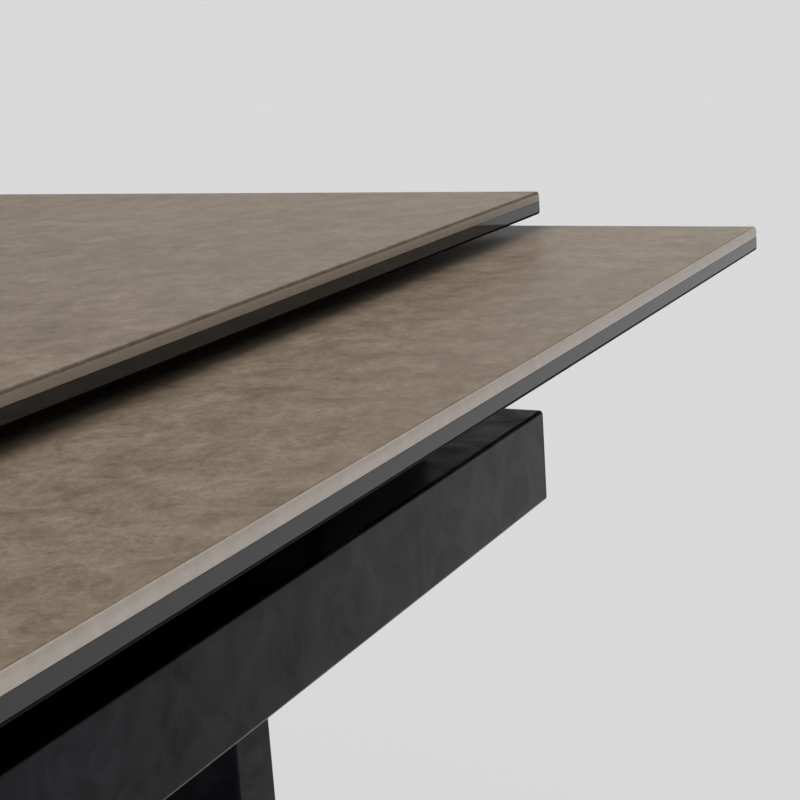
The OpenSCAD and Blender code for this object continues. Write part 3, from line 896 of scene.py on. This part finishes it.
def add_lights(scene, stage):
    """A soft key light that leans to the left, and a wide fill straight from above."""
    for name, strength, spread, lean in (
            ("key_light", stage.key_strength, stage.key_spread, stage.key_lean),
            ("fill_light", stage.fill_strength, stage.fill_spread, 0.0)):
        light = bpy.data.objects.new(name, bpy.data.lights.new(name, "SUN"))
        light.data.energy = strength
        light.data.angle = spread
        light.rotation_euler.y = -lean
        scene.collection.objects.link(light)


def add_floor(scene, stage):
    """A round floor under the table."""
    bm = bmesh.new()
    bmesh.ops.create_circle(bm, cap_ends=True, segments=96, radius=stage.floor_radius)
    mesh = bpy.data.meshes.new("floor")
    bm.to_mesh(mesh)
    bm.free()
    mesh.materials.append(finish(studio_floor))
    floor = bpy.data.objects.new("floor", mesh)
    scene.collection.objects.link(floor)


# ---------------------------------------------------------------- operators


class TABLE_OT_main_top(bpy.types.Operator):
    """Add the main top: the ceramic slab on its dark glass"""

    bl_idname = "table.main_top"
    bl_label = "Main Top"

    def execute(self, context):
        slab_pair("main_top", "base", "main_top_ceramic", "main_top_glass",
                  main_edge, settings("table_slabs").main_print)
        return {"FINISHED"}


class TABLE_OT_leaves(bpy.types.Operator):
    """Add both leaves with the pads that bond them to their arms"""

    bl_idname = "table.leaves"
    bl_label = "Leaves"

    def execute(self, context):
        for end in ENDS:
            body = end + "_leaf"
            slab_pair(body, body, end + "_leaf_ceramic", end + "_leaf_glass",
                      leaf_edge, settings("table_slabs").leaf_print)
            moulded_blocks(end + "_leaf_bonding_pads", end + "_leaf_pads", body,
                           black_rubber)
        return {"FINISHED"}


class TABLE_OT_top_carriers(bpy.types.Operator):
    """Finish the main top's bars, and add their spacers and bonding pads"""

    bl_idname = "table.top_carriers"
    bl_label = "Top Carriers"

    def execute(self, context):
        coat_nodes(powder_coat, "black_powder_coat", *("top_bar_" + end for end in ENDS))
        moulded_blocks("bar_spacers", "top_bar_spacers", "base", black_plastic)
        moulded_blocks("main_top_bonding_pads", "top_bonding_pads", "base", black_rubber)
        return {"FINISHED"}


class TABLE_OT_steel_frame(bpy.types.Operator):
    """Finish the frame's tubes, and add its welds, plugs and buffers"""

    bl_idname = "table.steel_frame"
    bl_label = "Steel Frame"

    def execute(self, context):
        tubes = ["end_beam_" + end for end in ENDS]
        tubes += [kind + "_rail_" + row for kind in ("side", "slide") for row in ROWS]
        tubes += ["cross_member_" + end + "_" + place for end in ENDS for place in ("outer", "inner")]
        coat_nodes(powder_coat, "black_powder_coat", *tubes)
        frame_welds()
        tube_plugs("frame_tube_plugs", "frame_end_caps", "base",
                   lambda low, high: min(range(2), key=lambda i: high[i] - low[i]))
        moulded_blocks("rubber_buffers", "stop_buffers", "base", black_rubber, 0)
        return {"FINISHED"}


class TABLE_OT_leg_frames(bpy.types.Operator):
    """Finish the leg frames' tubes and brackets, and add their plugs and feet"""

    bl_idname = "table.leg_frames"
    bl_label = "Leg Frames"

    def execute(self, context):
        parts = ("_head_bar", "_foot_bar", *("_upright_" + row for row in ROWS))
        tubes = [end + part for end in ENDS for part in parts]
        coat_nodes(powder_coat, "black_powder_coat", "leg_brackets", *tubes)
        tube_plugs("leg_tube_plugs", "leg_end_caps", "base", lambda low, high: 1)
        levelling_feet()
        return {"FINISHED"}


class TABLE_OT_arms(bpy.types.Operator):
    """Finish the leaves' arms and tie bars, and add their welds and plugs"""

    bl_idname = "table.arms"
    bl_label = "Leaf Arms"

    def execute(self, context):
        for end, sign in ENDS.items():
            bars = (end + "_tie_bar", *(end + "_arm_" + row for row in ROWS))
            coat_nodes(powder_coat, "black_powder_coat", *bars)
            tie_welds(end, sign)
            moulded_blocks(end + "_arm_plugs", end + "_arm_caps", end + "_leaf",
                           black_plastic, 0)
        return {"FINISHED"}


class TABLE_OT_runners(bpy.types.Operator):
    """Finish the ball-bearing runners"""

    bl_idname = "table.runners"
    bl_label = "Runners"

    def execute(self, context):
        parts = (*("_runner_outer_" + row for row in ROWS), "_runner_middles", "_runner_inners",
                 "_outer_cages", "_inner_cages")
        coat_nodes(zinc_plate, "zinc_steel", *(end + part for end in ENDS for part in parts))
        return {"FINISHED"}


class TABLE_OT_fastenings(bpy.types.Operator):
    """Add the bolts and screws"""

    bl_idname = "table.fastenings"
    bl_label = "Bolts and Screws"

    def execute(self, context):
        hex_bolts("frame_hex_bolts", "frame_bolts", "base")
        hex_bolts("leg_hex_bolts", "leg_bolts", "base")
        socket_screws("runner_countersunk_screws", "runner_screws", "base", True)
        for end in ENDS:
            socket_screws(end + "_arm_pan_screws", end + "_arm_screws", end + "_leaf", False)
        return {"FINISHED"}


class TABLE_OT_stage(bpy.types.Operator):
    """Add the camera, the light and the floor"""

    bl_idname = "table.stage"
    bl_label = "Stage"

    def execute(self, context):
        context.scene.view_settings.view_transform = "Standard"
        for add in (add_camera, add_surround, add_lights, add_floor):
            add(context.scene, settings("table_stage"))
        return {"FINISHED"}


class TABLE_PT_panel(bpy.types.Panel):
    """Settings and pieces of the dining table"""

    bl_idname = "TABLE_PT_panel"
    bl_label = "Dining Table"
    bl_space_type = "VIEW_3D"
    bl_region_type = "UI"
    bl_category = "Dining Table"

    def draw(self, context):
        for group in GROUPS:
            box = self.layout.box()
            for name in GROUPS[group].__annotations__:
                box.prop(getattr(context.scene, group), name)
        for operator in OPERATORS:
            self.layout.operator(operator.bl_idname)


OPERATORS = (
    TABLE_OT_stage,
    TABLE_OT_main_top,
    TABLE_OT_leaves,
    TABLE_OT_top_carriers,
    TABLE_OT_steel_frame,
    TABLE_OT_leg_frames,
    TABLE_OT_arms,
    TABLE_OT_runners,
    TABLE_OT_fastenings,
)


def register():
    """Adds the classes and the scene's settings."""
    for kind in (*GROUPS.values(), *OPERATORS, TABLE_PT_panel):
        bpy.utils.register_class(kind)
    for group, kind in GROUPS.items():
        setattr(bpy.types.Scene, group, bpy.props.PointerProperty(type=kind))


def unregister():
    """Takes them away again."""
    for group in GROUPS:
        delattr(bpy.types.Scene, group)
    for kind in reversed((*GROUPS.values(), *OPERATORS, TABLE_PT_panel)):
        bpy.utils.unregister_class(kind)


def main():
    """Builds the whole table and its stage."""
    register()
    for operator in OPERATORS:
        family, name = operator.bl_idname.split(".")
        getattr(getattr(bpy.ops, family), name)()


if __name__ == "__main__":
    main()
